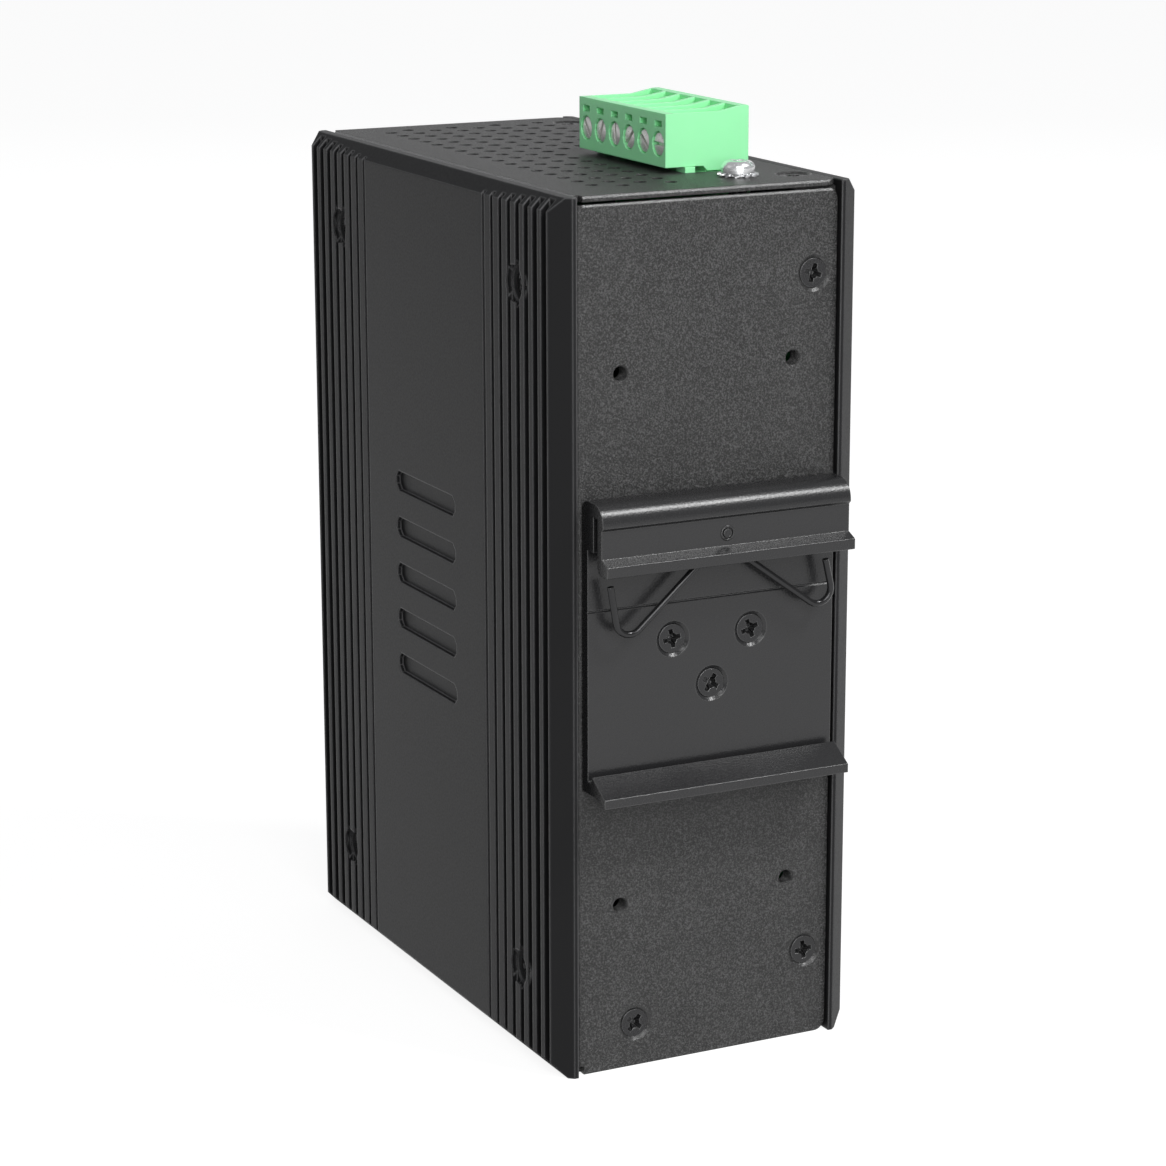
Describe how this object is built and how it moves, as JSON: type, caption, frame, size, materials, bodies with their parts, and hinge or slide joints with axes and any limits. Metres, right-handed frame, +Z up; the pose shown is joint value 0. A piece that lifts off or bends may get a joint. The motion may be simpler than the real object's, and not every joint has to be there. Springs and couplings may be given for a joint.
{
  "type": "rail-mounted network switch",
  "caption": "Network switch with power over its ports: finned side heat sinks, folded steel box, rail clip with wire spring, pluggable terminal.",
  "frame": {"origin": "middle of the underside of the whole outline, heat sinks and rail clip included", "axes": "+Z up, +Y towards the rail clip at the rear, -Y towards the ports, +X towards the side of the power board"},
  "size_m": [0.054, 0.1068, 0.1522],
  "materials": {
    "anodised_aluminium": "satin black anodised",
    "black_plastic": "fine moulded",
    "blackened_steel": "black zinc",
    "capacitor_sleeve": "shrunk sleeve",
    "chip_epoxy": "moulded epoxy",
    "circuit_board": "solder mask on glass epoxy",
    "clear_plastic": "moulded clear lens",
    "coated_aluminium": "semi-gloss black coat",
    "ferrite": "sintered ferrite",
    "gold_plated_contact": "gold plated",
    "green_polyamide": "fine moulded satin",
    "nickel_plated_brass": "nickel plated",
    "nickel_plated_steel": "bright nickel",
    "powder_coated_steel": "fine textured black powder coat",
    "relay_case": "smooth moulded",
    "socket_shield": "nickel-plated sheet",
    "spring_steel": "black oxide",
    "thermal_pad": "soft silicone",
    "tinned_brass": "tin plated",
    "winding_tape": "polyester tape",
    "zinc_plated_steel": "zinc plated"
  },
  "bodies": {
    "root": {"alarm_relay": "relay_case", "bottom_screws": "blackened_steel", "chassis_lid": "powder_coated_steel", "chassis_tray": "powder_coated_steel", "clip_rivet": "blackened_steel", "clip_screws": "blackened_steel", "clip_spring": "spring_steel", "ethernet_jack_1": "black_plastic", "ethernet_jack_2": "black_plastic", "ethernet_jack_3": "black_plastic", "ethernet_jack_4": "black_plastic", "ethernet_jack_5": "black_plastic", "fibre_cage": "socket_shield", "fibre_socket": "black_plastic", "ground_screw": "nickel_plated_steel", "header_pins": "tinned_brass", "heat_sink_left": "anodised_aluminium", "heat_sink_right": "anodised_aluminium", "jack_contacts": "gold_plated_contact", "jack_shield_1": "socket_shield", "jack_shield_2": "socket_shield", "jack_shield_3": "socket_shield", "jack_shield_4": "socket_shield", "jack_shield_5": "socket_shield", "lamp_holder": "black_plastic", "link_card": "circuit_board", "link_socket_main": "black_plastic", "link_socket_power": "black_plastic", "lock_washer": "nickel_plated_steel", "main_board": "circuit_board", "main_board_screws": "nickel_plated_steel", "main_board_standoffs": "nickel_plated_brass", "poe_controller_pads": "thermal_pad", "poe_controllers": "chip_epoxy", "port_magnetics_1": "chip_epoxy", "port_magnetics_2": "chip_epoxy", "port_magnetics_3": "chip_epoxy", "port_magnetics_4": "chip_epoxy", "port_magnetics_5": "chip_epoxy", "power_board": "circuit_board", "power_board_screws": "nickel_plated_steel", "power_board_standoffs": "nickel_plated_brass", "power_capacitor_1": "capacitor_sleeve", "power_capacitor_2": "capacitor_sleeve", "power_capacitor_3": "capacitor_sleeve", "power_coils": "ferrite", "rail_clip": "coated_aluminium", "rear_press_nuts": "zinc_plated_steel", "rear_screws": "blackened_steel", "side_screws": "blackened_steel", "status_lamps": "clear_plastic", "switch_chip": "chip_epoxy", "switch_chip_pad": "thermal_pad", "terminal_header": "green_polyamide", "terminal_plug": "green_polyamide", "terminal_screws": "nickel_plated_steel", "top_screws": "blackened_steel", "transformer_core": "ferrite", "transformer_winding": "winding_tape"}
  },
  "joints": []
}
